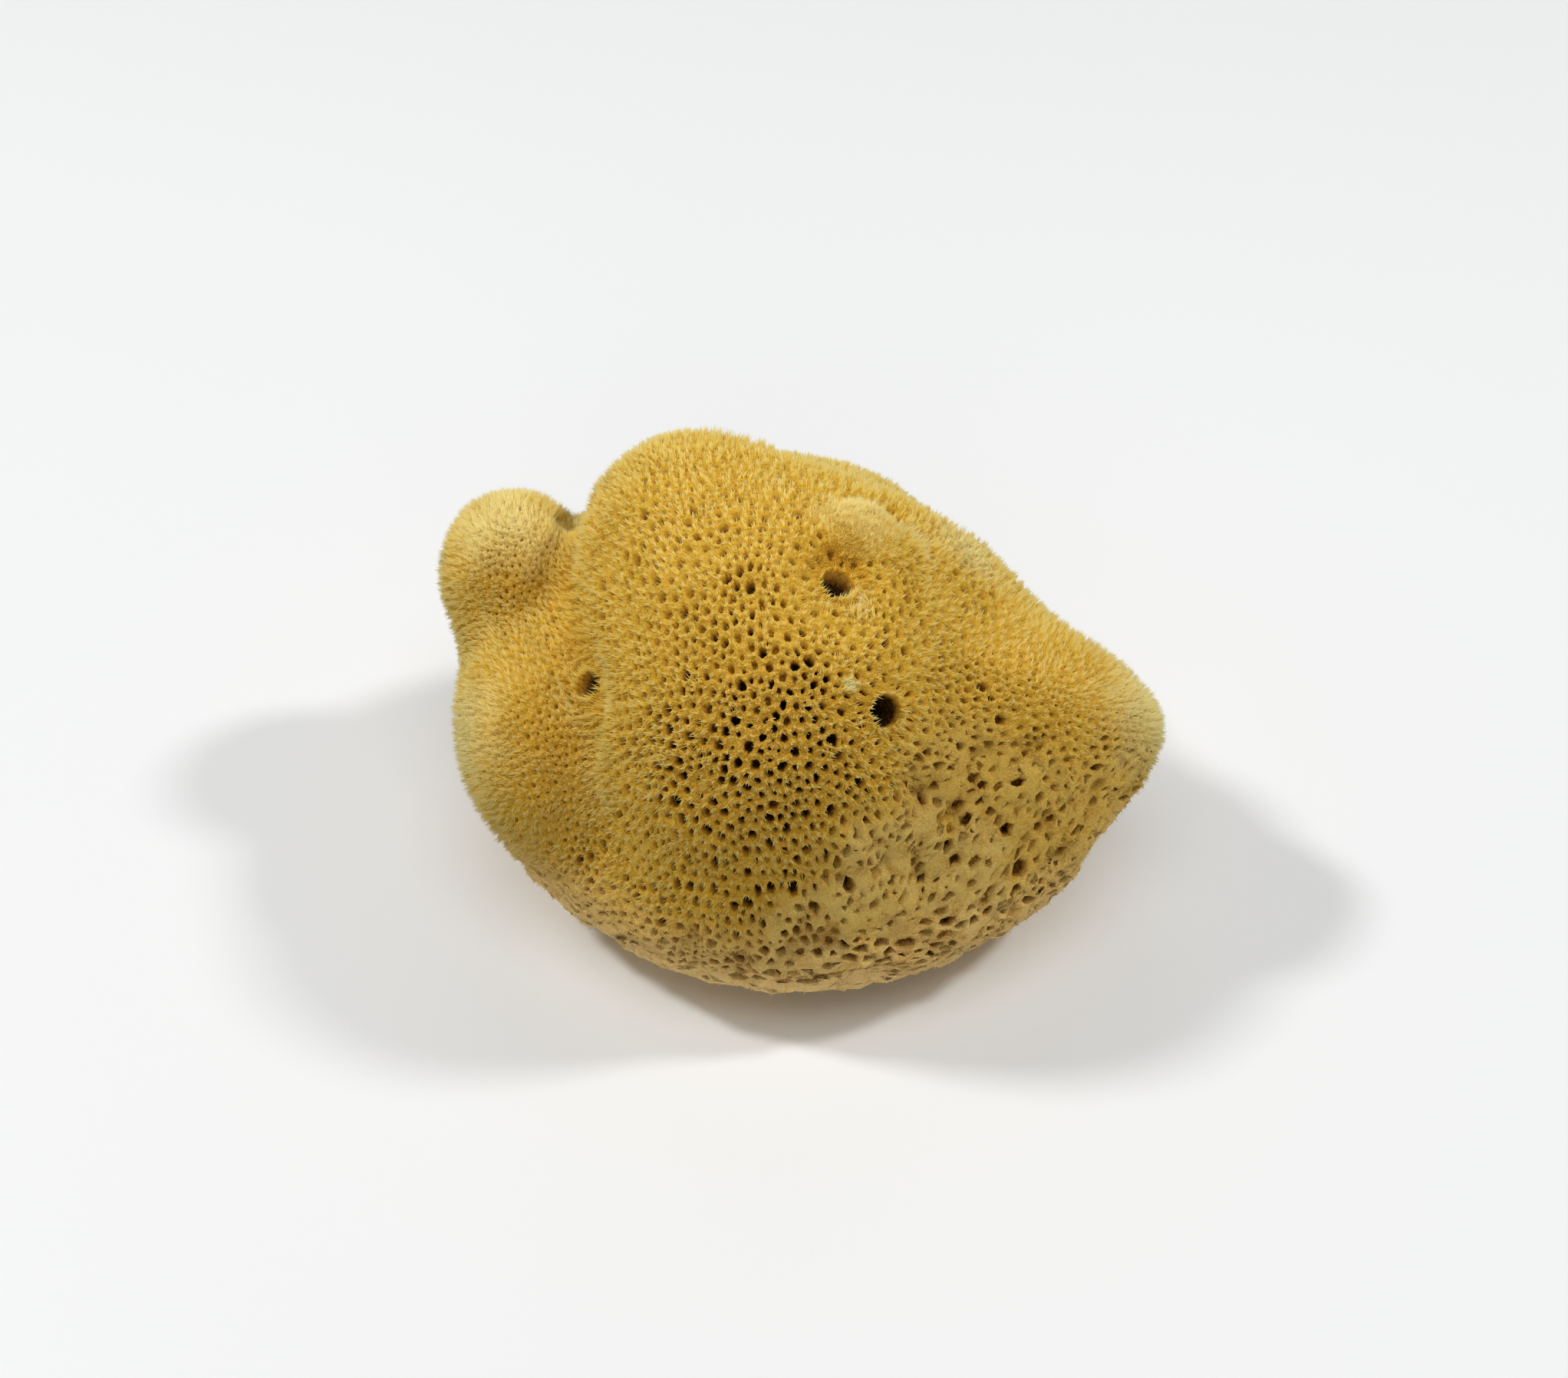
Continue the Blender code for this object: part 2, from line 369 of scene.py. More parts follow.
# %% [markdown]
# ## Room for the oscula
# The large round openings are the sponge's outlets, the oscula. Three show in the photo: one under
# the pale bump near the top, one clean round hole on the front, and one in the valley on the left.
# The others sit on the sides that the photo doesn't show, where the CAD solid has them. They could
# be cut with a boolean, but that leaves sharp rims without cells. Here the net's points make room
# for a single large cell, so that an opening grows like any other pore.

# %% Clear the net round each osculum
# Each osculum: name, place, width, depth, and the depth of full painted shade, in millimetres
OSCULA = (
    ("under the bump", (5.8, -11.4, 62.6), 5.4, 11.0, 2.8),
    ("front", (12.5, -28.1, 52.9), 5.2, 12.0, 1.7),
    ("in the valley", (-31.4, -13.0, 43.2), 4.8, 9.0, 2.8),
    ("back of the crown", (-10.2, 28.3, 58.0), 4.6, 10.0, 5.0),
    ("right shoulder", (23.8, 16.3, 46.0), 4.4, 9.0, 5.0),
    ("low on the back", (-22.2, 40.3, 34.0), 4.2, 8.0, 5.0),
)
DUAL_SHARE = 2.0 / 3.0
MOUTH_SHARE = 0.92


def clear_round(net, surface, middle, width):
    """Replace the points inside a circle by one point, whose cell becomes the opening."""
    centre = surface.find_nearest(Vector(middle) * MM)[0]
    reach = 0.5 * width * MM / (DUAL_SHARE * MOUTH_SHARE)
    inside = [vertex for vertex in net.verts if (vertex.co - centre).length < reach]
    bmesh.ops.delete(net, geom=inside, context="VERTS")
    rim = [edge for edge in net.edges if edge.is_boundary]
    ring = list({vertex for edge in rim for vertex in edge.verts})
    for vertex in ring:
        arm = vertex.co - centre
        vertex.co = surface.find_nearest(centre + arm.normalized() * reach)[0]
    cap = bmesh.ops.holes_fill(net, edges=rim)["faces"]
    hub = bmesh.ops.poke(net, faces=cap)["verts"][0]
    hub.co = centre
    return centre, len(ring)


net = bmesh.new()
net.from_mesh(net_mesh)
bmesh.ops.triangulate(net, faces=net.faces[:])
mouths = []
for label, middle, width, *_ in OSCULA:
    centre, corners = clear_round(net, surface, middle, width)
    mouths.append(centre)
    print("osculum", label, "at", [round(value / MM, 1) for value in centre], "with", corners, "corners")
bmesh.ops.recalc_face_normals(net, faces=net.faces[:])
net.to_mesh(net_mesh)
net.free()

# %% [markdown]
# ## Regions of the skin
# The skin isn't the same all over. The honeycomb on the front has the darkest pores and thick
# points, the bump, the knob and the side lobes are velvet with small pores, and the lower right is
# felted flat and grey, with fewer but larger holes. The rest of the lower part has short nap, and a
# smooth beige band runs round the bottom. These could be painted by hand. Balls with a noisy edge
# are quicker to move, and each makes a soft mask over the net's points.

# %% Balls for the regions
# Each ball: the three numbers of its middle, and its radius, in millimetres
FELT_BALLS = ((14.0, -38.0, 30.0, 10.5), (24.0, -34.0, 24.0, 9.5), (2.0, -43.0, 23.0, 8.0))
SHORT_BALLS = (
    (22.0, -29.0, 40.0, 9.5),
    (33.0, -29.0, 32.0, 11.0),
    (46.0, -20.0, 23.0, 12.0),
    (35.0, -32.0, 18.0, 11.0),
    (14.0, -38.0, 28.0, 14.0),
)
HONEYCOMB_BALLS = ((-9.0, -37.5, 46.0, 16.0), (-4.0, -42.0, 32.0, 13.0), (5.0, -34.0, 50.0, 12.0))
VELVET_BALLS = (
    (9.3, -0.5, 65.0, 7.5),
    (38.0, -10.0, 44.0, 14.0),
    (48.0, -8.0, 34.0, 12.0),
    (-42.0, -14.0, 34.0, 17.0),
    (-44.0, 17.0, 44.0, 15.0),
)
# Painted highlight: paler on the bump's crest, the knob's top, the right shoulder and lobe edges.
HIGHLIGHT_BALLS = (
    (10.0, 1.2, 67.5, 5.0),
    (-45.0, 16.0, 54.0, 9.0),
    (-57.0, -14.0, 34.0, 10.5),
    (58.0, -9.0, 34.0, 11.0),
    (27.0, 9.0, 52.0, 5.5),
)
print("balls for velvet", len(VELVET_BALLS))

# %% Soft masks
# Each wave of an edge: how far it goes and how long it is, in millimetres, and a seed
EDGE_WAVES = ((3.0, 5.0, 3), (1.5, 2.0, 4))
LOW_WAVE = (4.0, 6.0, 21)
BAND_WAVE = (1.5, 7.0, 22)
NOISE_STEP = (17.3, 5.1, 9.7)
LOW_TOP = 23.0
LEFT_DROP = 5.0
LEFT_START = -12.0
LEFT_WIDTH = 15.0
BAND_TOP = 13.5
CUT_TOP = 0.6


def patch_noise(places, size, seed):
    """Soft noise from -1 to 1 whose patches have about the given size in millimetres."""
    step = Vector([seed * part for part in NOISE_STEP])
    return np.array([noise.noise(Vector(place) / size + step) for place in places])


def waved(places, wave):
    """One wave of an edge, in millimetres."""
    height, size, seed = wave
    return height * patch_noise(places, size, seed)


def distance_from(places, middle):
    """The distance of each place from one point."""
    return np.linalg.norm(places - np.array(middle), axis=1)


def ball_mask(places, balls, soft):
    """1 inside any of the balls and 0 outside, in millimetres, with a soft uneven edge."""
    rough = sum(waved(places, wave) for wave in EDGE_WAVES)
    reach = np.full(len(places), -1e3)
    for *middle, radius in balls:
        reach = np.maximum(reach, radius - distance_from(places, middle))
    return np.clip(0.5 + (reach + rough) / (2.0 * soft), 0.0, 1.0)


def below_mask(places, top, soft, wave):
    """1 below a height and 0 above it, in millimetres, with a soft uneven edge."""
    return np.clip((top + waved(places, wave) - places[:, 2]) / soft, 0.0, 1.0)


places = coordinates(net_mesh) / MM
normals = np.array([vertex.normal[:] for vertex in net_mesh.vertices])
count = len(places)
felt = ball_mask(places, FELT_BALLS, soft=1.0)
low_top = LOW_TOP - LEFT_DROP * np.clip((LEFT_START - places[:, 0]) / LEFT_WIDTH, 0.0, 1.0)
low = below_mask(places, low_top, soft=6.0, wave=LOW_WAVE)
short = np.maximum(low, ball_mask(places, SHORT_BALLS, soft=3.0))
honeycomb = ball_mask(places, HONEYCOMB_BALLS, soft=5.0) * (1.0 - short)
velvet = ball_mask(places, VELVET_BALLS, soft=4.0) * (1.0 - short)
# The pale mask is painted highlight from its balls, and a real pale tuft at the fleck.
pale = ball_mask(places, HIGHLIGHT_BALLS, soft=4.0)
band = below_mask(places, BAND_TOP, soft=3.0, wave=BAND_WAVE)
cut = (places[:, 2] < CUT_TOP).astype(float)
print("felted", int(felt.sum()), "honeycomb", int(honeycomb.sum()), "velvet", int(velvet.sum()))

# %% [markdown]
# ## How each cell is to grow
# On the real sponge every pore has its own size and depth, and the fibres beside it their own
# length. One size for all would look like a machine's work, and painting seven thousand cells would
# take weeks. So each region gets limits here, and a fixed seed draws a number for every cell
# between them. They are stored on the net, where the geometry trees read them.

# %% Pores and ridges
CELL_SEED = 23
# Pores darken as painted shade, fully at the dark depth, and sooner in the honeycomb.
DARK_DEPTH = 2.4
HONEYCOMB_DARK_DEPTH = 1.35
BUMP_PLACE = (9.3, -0.5, 63.5)
BUMP_REACH = 6.5
BAND_SHALLOW = 0.65
dice = np.random.default_rng(CELL_SEED)


def between(low, high):
    """A number for every cell, spread evenly between two limits."""
    return dice.uniform(low, high, count)


def blended(base, *steps):
    """Start from one value, and move to another where a mask says so."""
    value = base * np.ones(count)
    for mask, other in steps:
        value = value * (1.0 - mask) + other * mask
    return value


wide_share = blended(0.28, (honeycomb, 0.30), (velvet, 0.0), (short, 0.20), (low, 0.30), (band, 0.05))
bump = distance_from(places, BUMP_PLACE) / BUMP_REACH
wide = (between(0.0, 1.0) < wide_share * (bump > 1.0)).astype(float)
open_share = blended(
    between(0.42, 0.60),
    (honeycomb, between(0.30, 0.68)),
    (velvet, between(0.22, 0.44)),
    (short, between(0.22, 0.70)),
    (low, between(0.38, 0.80)),
)
open_share = open_share + wide * between(0.12, 0.22)
pore_chance = np.where(short > 0.5, 0.9, 1.0)
pore_chance = np.where(felt > 0.5, 0.7, pore_chance)
pore_chance = np.where(band > 0.5, 0.30, pore_chance)
open_share = np.where(between(0.0, 1.0) < pore_chance, open_share, 0.0)
pore_depth = blended(
    between(0.7, 1.2),
    (velvet, 0.6),
    (honeycomb, between(1.0, 2.1)),
    (short, between(0.5, 1.1)),
    (low, between(1.0, 2.2)),
)
pore_depth = (pore_depth + wide * between(0.8, 1.8)) * (1.0 - BAND_SHALLOW * band)
dark_depth = blended(DARK_DEPTH, (honeycomb, HONEYCOMB_DARK_DEPTH))
corner_lift = blended(
    between(0.2, 0.5), (honeycomb, between(0.5, 0.9)), (short, between(0.0, 0.3)), (cut, 0.0)
)
print("mean pore depth in mm", pore_depth.mean().round(2))

# %% Nap
VELVET_TOP = 58.0
VELVET_LONGER = 0.35
WIDE_THINNER = 0.35
WIDE_FEWER = 0.3

nap_length = blended(
    between(1.25, 1.70),
    (honeycomb, between(1.2, 1.75)),
    (velvet, between(1.2, 1.6) + VELVET_LONGER * (places[:, 2] < VELVET_TOP)),
    (short, 0.75),
    (felt, 0.5),
    (cut, 0.2),
)
nap_lean = blended(1.0, (velvet, 0.9), (honeycomb, 1.4), (short, 1.3), (felt, 1.7))
nap_girth = blended(between(0.8, 1.2), (honeycomb, 1.45), (velvet, 0.76), (short, 0.70), (felt, 0.62))
nap_amount = blended(
    0.75, (honeycomb, 0.55), (velvet, 1.3), (short, 1.4), (felt, 2.2), (band, 0.1), (cut, 0.0)
)
nap_amount = nap_amount * (1.0 - WIDE_THINNER * wide)
brush_amount = blended(
    1.0, (honeycomb, 0.85), (velvet, 1.3), (short, 0.35), (felt, 0.1), (band, 0.05), (cut, 0.0)
)
brush_amount = brush_amount * (1.0 - WIDE_FEWER * wide)
print("mean nap length in mm", nap_length.mean().round(2))

# %% The bump and the fleck
# The pale bump has no pores and more nap. The fleck is one pale tuft beside the front osculum.
BUMP_EDGE = 0.95
BUMP_NAP = 1.8
BUMP_BRUSH = 1.4
FLECK_PLACE = (6.5, -27.4, 57.4)
FLECK_REACH = 1.05

on_bump = bump < BUMP_EDGE
open_share[on_bump] = 0.0
nap_amount[on_bump] *= BUMP_NAP
brush_amount[on_bump] *= BUMP_BRUSH
fleck = distance_from(places, FLECK_PLACE) < FLECK_REACH
fleck_values = ((open_share, 0.0), (nap_amount, 4.0), (pale, 1.3), (brush_amount, 6.0), (nap_girth, 2.6))
for values, at_fleck in fleck_values:
    values[fleck] = at_fleck
print("cells on the bump", int(on_bump.sum()), "and on the fleck", int(fleck.sum()))

# %% Round the oscula
# Reaches are counted in widths of the osculum, apart from the hub's, which is in millimetres.
HUB_REACH = 0.5
CALM_REACH = 1.7
CALM_OPEN = 0.42
CALM_DEPTH = 1.1
FLAT_REACH = 0.8
FLAT_LIFT = 0.4
RIM_NAP = 1.15
LASH_REACH = 1.1
LASH_BELOW = 0.3
LASH_NAP = 1.4

for centre, (*_, width, depth, hub_dark) in zip(mouths, OSCULA):
    near = distance_from(places * MM, centre[:])
    hub = near < HUB_REACH * MM
    open_share[hub] = MOUTH_SHARE
    pore_depth[hub] = depth
    dark_depth[hub] = hub_dark
    calm = (near > HUB_REACH * MM) & (near < CALM_REACH * width * MM)
    open_share[calm] = np.minimum(open_share[calm], CALM_OPEN)
    pore_depth[calm] = np.minimum(pore_depth[calm], CALM_DEPTH)
    corner_lift[near < FLAT_REACH * width * MM] *= FLAT_LIFT
    nap_length[near < width * MM] *= RIM_NAP
    lashes = (places[:, 2] < centre[2] / MM - LASH_BELOW) & (near < LASH_REACH * width * MM)
    nap_length[lashes] *= LASH_NAP
    brush_amount[lashes] *= LASH_NAP
    print("hub cells", int(hub.sum()), "cells with longer nap", int(lashes.sum()))

# %% [markdown]
# ## Lumps, folds and pits
# A real sponge isn't an even egg: it has folds between its lobes, a sunken rim over one opening, and
# where it is felted, a crumpled relief with pits. Sculpting by hand would do this too, but couldn't
# be run again after a change to the solid. So the points of the net are moved along their normals
# by soft noise, by a valley along a line, and by a few round dents.

# %% Soft relief
# Each dent: name, place, reach and depth, in millimetres, where a negative depth is a rise
LUMP = 0.30
LUMP_PATCH = 5.0
LUMP_SEED = 12
SHORT_LUMP = 1.7
RIDGE_PATCH = 3.0
RIDGE_SEED = 14
GRAIN_DIRECTION = (0.7, 0.1, 0.7)
GRAIN_STRETCH = 0.55
FELT_RISE = 0.55
VALLEY_LINE = ((-35.1, 16.8, 47.4), (-35.7, 3.8, 44.9), (-30.4, -16.6, 46.0), (-30.5, -21.3, 40.7))
VALLEY_REACH = 6.5
VALLEY_DROP = 1.1
FUNNEL_PLACE = (6.0, -9.2, 63.3)
FUNNEL_REACH = 6.5
DENTS = (
    ("pale bump", BUMP_PLACE, BUMP_REACH, -3.6),
    ("funnel over the first osculum", FUNNEL_PLACE, FUNNEL_REACH, 1.8),
    ("groove behind the bump", (14.0, 6.5, 62.5), 6.0, 2.2),
    ("notch beside the knob", (-34.6, 21.5, 45.6), 6.2, 3.6),
    ("crease on the right", (33.2, -23.3, 42.0), 3.0, 1.3),
    ("fleck", FLECK_PLACE, 1.6, -0.7),
)


def distance_to_line(places, line):
    """The distance of each place from a line through a few points."""
    nearest = np.full(len(places), 1e3)
    for start, stop in zip(line, line[1:]):
        start = np.array(start)
        arm = np.array(stop) - start
        share = np.clip((places - start) @ arm / (arm @ arm), 0.0, 1.0)
        nearest = np.minimum(nearest, np.linalg.norm(places - start - share[:, None] * arm, axis=1))
    return nearest


grain = np.array(GRAIN_DIRECTION) / np.linalg.norm(GRAIN_DIRECTION)
stretched = places - GRAIN_STRETCH * (places @ grain)[:, None] * grain
ridges = 0.5 - 2.0 * np.abs(patch_noise(stretched, RIDGE_PATCH, RIDGE_SEED))
lump = LUMP * patch_noise(places, LUMP_PATCH, LUMP_SEED) + SHORT_LUMP * short * ridges + FELT_RISE * felt
valley = np.clip(1.0 - distance_to_line(places, VALLEY_LINE) / VALLEY_REACH, 0.0, 1.0)
lump -= VALLEY_DROP * valley * valley * (3.0 - 2.0 * valley)
for label, place, reach, drop in DENTS:
    near = distance_from(places, place) / reach
    lump -= drop * np.where(near < 1.0, (1.0 - near * near) ** 2, 0.0)
    print("dent", label, "moves", int((near < 1.0).sum()), "points")

# %% Pits of the felted part
# Neighbouring pores run together in the pits, so the cells there are drawn again, wider and deeper.
PIT_PATCH = 2.6
PIT_SEED = 31
PIT_GAIN = 2.4
PIT_LEVEL = 0.25
PIT_DROP = 2.2
PIT_FLOOR = 12.0
PIT_FADE = 4.0
MERGED_FROM = 0.3

pits = np.clip(PIT_GAIN * patch_noise(stretched, PIT_PATCH, PIT_SEED) - PIT_LEVEL, 0.0, 1.0)
pits = pits * np.maximum(short, felt)
pits *= np.clip((places[:, 2] - PIT_FLOOR) / PIT_FADE, 0.0, 1.0)
lump -= PIT_DROP * pits
merged = pits > MERGED_FROM
open_share[merged] = between(0.45, 0.85)[merged]
pore_depth[merged] = between(0.6, 2.2)[merged]
lump[cut > 0.5] = 0.0
net_mesh.vertices.foreach_set("co", ((places + normals * lump[:, None]) * MM).ravel())
print("points moved by", lump.min().round(1), "to", lump.max().round(1), "mm")

# %% Store the numbers on the net
OPEN_FROM = 0.02
FUNNEL_PAINTED_SHADE = 0.9
FUNNEL_INNER = 1.1
FUNNEL_FALL = 1.3
VALLEY_PAINTED_SHADE = 0.35
PIT_PAINTED_SHADE = 0.5
HONEYCOMB_PAINTED_SHADE = 0.20
SHORT_FELT = 0.55
SHORT_ROUGH = 1.9
HONEYCOMB_ROUGH = 0.7


def store(mesh, name, values, kind="FLOAT"):
    """Store one number or one direction for every point of a mesh."""
    attribute = mesh.attributes.new(name, kind, "POINT")
    part = "vector" if kind == "FLOAT_VECTOR" else "value"
    attribute.data.foreach_set(part, np.asarray(values, np.float32).ravel())


# Painted shade: darker in the funnel over the first osculum, along the valley and in the pits.
funnel = distance_from(places, FUNNEL_PLACE) / FUNNEL_REACH
painted_shade = FUNNEL_PAINTED_SHADE * np.clip(FUNNEL_INNER - FUNNEL_FALL * funnel, 0.0, 1.0)
painted_shade = np.maximum(painted_shade, VALLEY_PAINTED_SHADE * valley)
painted_shade = np.maximum(painted_shade, PIT_PAINTED_SHADE * pits)
stored = {
    "open": open_share,
    "painted_shade": painted_shade,
    "depth": pore_depth * MM,
    "dark depth": dark_depth * MM,
    "lift": corner_lift * MM,
    "nap": nap_length * MM,
    "girth": nap_girth,
    "lean": nap_lean,
    "rough": 1.0 + SHORT_ROUGH * short + HONEYCOMB_ROUGH * honeycomb,
    # The skin's painted shade: the shade above, and more over the front honeycomb.
    "shade": np.clip(painted_shade + HONEYCOMB_PAINTED_SHADE * honeycomb, 0.0, 1.0),
    "amount": nap_amount,
    "brush": brush_amount,
    "felt": np.maximum(felt, SHORT_FELT * short),
    "pale": pale,
}
for name, values in stored.items():
    store(net_mesh, name, values)
store(net_mesh, "out", normals, "FLOAT_VECTOR")
print("cells with a pore", int((open_share > OPEN_FROM).sum()), "of", count)

# %% [markdown]
# ## Colour of spongin
# Dry spongin is translucent and honey-coloured: dark amber where it is thick, and a pale cream at
# the fibre tips, where light comes through. The felted part is greyer and the bottom band beige.
# Real translucency would be slow over a million triangles, so the colour itself rises from amber
# to cream, partly as painted light. Painted shade darkens it down the pores, in the funnel, the
# valley and the pits, and over the front honeycomb. Pale balls add a painted highlight on crests
# and edges, and the beige band reaches up the underside as painted light. One shader group gives
# it, so that the skin and the nap agree.

# %% The shared colour group
# The band's heights are in metres, and the other numbers are shares from 0 to 1.
# The near-black and the brown of the hollows are painted shade down the pores.
PAINTED_PORE_SHADE = (0.03, 0.011, 0.0015, 1.0)
AMBER = (0.74, 0.385, 0.03, 1.0)
HONEY = (0.88, 0.605, 0.08, 1.0)
CREAM = (0.94, 0.82, 0.37, 1.0)
# Pale cream for the fleck's tuft, and for the painted highlight on crests and edges.
PALE_TUFT_AND_HIGHLIGHT = (0.97, 0.88, 0.42, 1.0)
FELT_GREY = (0.63, 0.445, 0.14, 1.0)
FELT_STRAW = (0.96, 0.66, 0.18, 1.0)
BEIGE_BAND_AND_PAINTED_LIGHT = (1.0, 0.7, 0.3, 1.0)
PAINTED_HOLLOW_SHADE = (0.44, 0.205, 0.022, 1.0)
AMBER_HEIGHT = 0.30
HONEY_HEIGHT = 0.62
PAINTED_SHADE_SHARE = 0.62
TINT_SHARE = 0.22
PALE_TUFT_AND_HIGHLIGHT_SHARE = 0.6
FELT_SHARE = 0.8
BAND_SHARE = 0.8
# The beige of the cut band reaches up the underside as painted light that lifts its shade.
BAND_START = 0.0230
BAND_FULL = 0.0100
HOLLOW_SHARE = 0.85
HOLLOW_FULL = 0.20
HOLLOW_END = 0.44
DARK_END = 0.24


def colour_mix(tree, factor, a, b):
    """A colour mix node: a where the factor is 0, b where it is 1."""
    return add_node(tree, "ShaderNodeMix", {"data_type": "RGBA"}, i0=factor, i6=a, i7=b).outputs[2]


def spongin_ramp(tree, height):
    """The colour along a fibre, from the painted shade of a deep pore at 0 to the pale tip at 1."""
    ramp = add_node(tree, "ShaderNodeValToRGB", Fac=height)
    stops = ramp.color_ramp.elements
    stops[0].position = 0.0
    stops[0].color = PAINTED_PORE_SHADE
    stops[1].position = 1.0
    stops[1].color = CREAM
    stops.new(AMBER_HEIGHT).color = AMBER
    stops.new(HONEY_HEIGHT).color = HONEY
    return ramp.outputs["Color"]


def spongin_colour_group():
    """A shader group: colour of spongin from height, tint, felt, pale, painted shade and place."""
    group = bpy.data.node_groups.new("spongin colour", "ShaderNodeTree")
    for name in ("Height", "Tint", "Felt", "Pale Tuft And Highlight", "Painted Shade", "Up"):
        group.interface.new_socket(name, in_out="INPUT", socket_type="NodeSocketFloat")
    group.interface.new_socket("Color", in_out="OUTPUT", socket_type="NodeSocketColor")
    values = group.nodes.new("NodeGroupInput").outputs
    # Painted shade lowers the height, so the colour turns darker.
    shade_factor = maths(group, "SUBTRACT", 1.0, product(group, values["Painted Shade"], PAINTED_SHADE_SHARE))
    height = product(group, values["Height"], shade_factor)
    ramp = spongin_ramp(group, height)
    tinted = colour_mix(group, product(group, values["Tint"], TINT_SHARE), ramp, AMBER)
    pale_tuft_and_highlight = colour_mix(group, product(group, values["Pale Tuft And Highlight"], PALE_TUFT_AND_HIGHLIGHT_SHARE), tinted, PALE_TUFT_AND_HIGHLIGHT)
    stained = colour_mix(group, values["Tint"], FELT_STRAW, FELT_GREY)
    grey = colour_mix(group, product(group, values["Felt"], FELT_SHARE), pale_tuft_and_highlight, stained)
    # Beige towards the bottom: the cut band, and painted light on the underside.
    low = remapped(group, values["Up"], BAND_START, BAND_FULL, 0.0, BAND_SHARE)
    band_and_painted_light = colour_mix(group, low, grey, BEIGE_BAND_AND_PAINTED_LIGHT)
    # Low heights turn brown and then near black: painted shade down the pores.
    hollow = remapped(group, height, HOLLOW_FULL, HOLLOW_END, HOLLOW_SHARE, 0.0)
    hollow_shaded = colour_mix(group, hollow, band_and_painted_light, PAINTED_HOLLOW_SHADE)
    dark = remapped(group, height, 0.0, DARK_END, 1.0, 0.0)
    feed(group, group.nodes.new("NodeGroupOutput"), "Color", colour_mix(group, dark, hollow_shaded, PAINTED_PORE_SHADE))
    return group


spongin_colour = spongin_colour_group()
print("colour group", spongin_colour.name, "with", len(spongin_colour.nodes), "nodes")

# %% Helpers for both materials


def attribute_value(tree, name):
    """One of the numbers stored on the mesh."""
    return add_node(tree, "ShaderNodeAttribute", {"attribute_name": name}).outputs["Fac"]


def new_material(name):
    """A new material with its node tree and its Principled shader."""
    material = bpy.data.materials.new(name)
    material.use_nodes = True
    return material, material.node_tree, material.node_tree.nodes["Principled BSDF"]


def spongin_coloured(tree, height, tint, felt, pale, painted_shade):
    """Place the colour group in a material. The last three name numbers stored on the mesh."""
    place = tree.nodes.new("ShaderNodeTexCoord").outputs["Object"]
    up = add_node(tree, "ShaderNodeSeparateXYZ", Vector=place).outputs["Z"]
    node = add_node(tree, "ShaderNodeGroup", {"node_tree": spongin_colour}, Height=height)
    feed(tree, node, "Tint", tint)
    feed(tree, node, "Up", up)
    for name, stored_name in (("Felt", felt), ("Pale Tuft And Highlight", pale), ("Painted Shade", painted_shade)):
        feed(tree, node, name, attribute_value(tree, stored_name))
    return node.outputs["Color"]


# %% [markdown]
# ## The skin's finish
# Between the pores, the real skin is a mat of very fine crossing fibres, honey on the ridges and
# darker down the holes, where shade falls. Modelling that mat would take millions of triangles, so
# fine noise gives it as relief and as a slight mottle, and the depth stored on the mesh darkens the
# pores as painted shade.

# %% The skin's material
FINE_SCALE = 2600.0
FINE_ROUGHNESS = 0.7
PATCH_SCALE = 420.0
PATCH_ROUGHNESS = 0.5
NOISE_DETAIL = 3.0
FINE_SPREAD = 0.5
FELT_MOTTLE = 0.7
SKIN_HEIGHT = 0.44
SKIN_ROUGHNESS = 0.9
SKIN_GLOSS = 0.1
RELIEF = 0.5 * MM


def skin_material():
    """The body: honey ridges, painted shade down the pores, fine crossing fibres as relief."""
    material, tree, shader = new_material("spongin skin")
    place = tree.nodes.new("ShaderNodeTexCoord").outputs["Object"]
    noises = []
    for scale, roughness in ((FINE_SCALE, FINE_ROUGHNESS), (PATCH_SCALE, PATCH_ROUGHNESS)):
        values = {"Vector": place, "Scale": scale, "Detail": NOISE_DETAIL, "Roughness": roughness}
        noises.append(add_node(tree, "ShaderNodeTexNoise", **values).outputs["Fac"])
    fine, patches = noises
    shallow = maths(tree, "SUBTRACT", 1.0, attribute_value(tree, "deep"), clamp=True)
    spread = product(tree, maths(tree, "SUBTRACT", fine, 0.5), FINE_SPREAD)
    felt = product(tree, attribute_value(tree, "felted"), FELT_MOTTLE)
    mottle = product(tree, maths(tree, "SUBTRACT", patches, 0.5), felt)
    spread = maths(tree, "ADD", spread, mottle)
    height = maths(tree, "ADD", product(tree, shallow, SKIN_HEIGHT), spread, clamp=True)
    colour = spongin_coloured(tree, height, patches, "felted", "pale_tuft_and_highlight", "skin_painted_shade")
    bump = add_node(tree, "ShaderNodeBump", Height=fine, Distance=RELIEF)
    feed(tree, shader, "Base Color", colour)
    feed(tree, shader, "Normal", bump.outputs["Normal"])
    shader.inputs["Roughness"].default_value = SKIN_ROUGHNESS
    shader.inputs["Specular IOR Level"].default_value = SKIN_GLOSS
    return material


skin_finish = skin_material()
print("material", skin_finish.name)

# %% [markdown]
# ## The nap's finish
# A real fibre is amber at its root and nearly clear at its tip, and no two have quite the same
# tint. A strand shader could show that, but it would be lost in the export. Each fibre is a mesh
# here, with the share of its height stored along it, and a random tone stored for the whole fibre.

# %% The nap's material
TIP_SHARE = 0.90
ROOT_HEIGHT = 0.35
NAP_ROUGHNESS = 0.7
NAP_GLOSS = 0.0


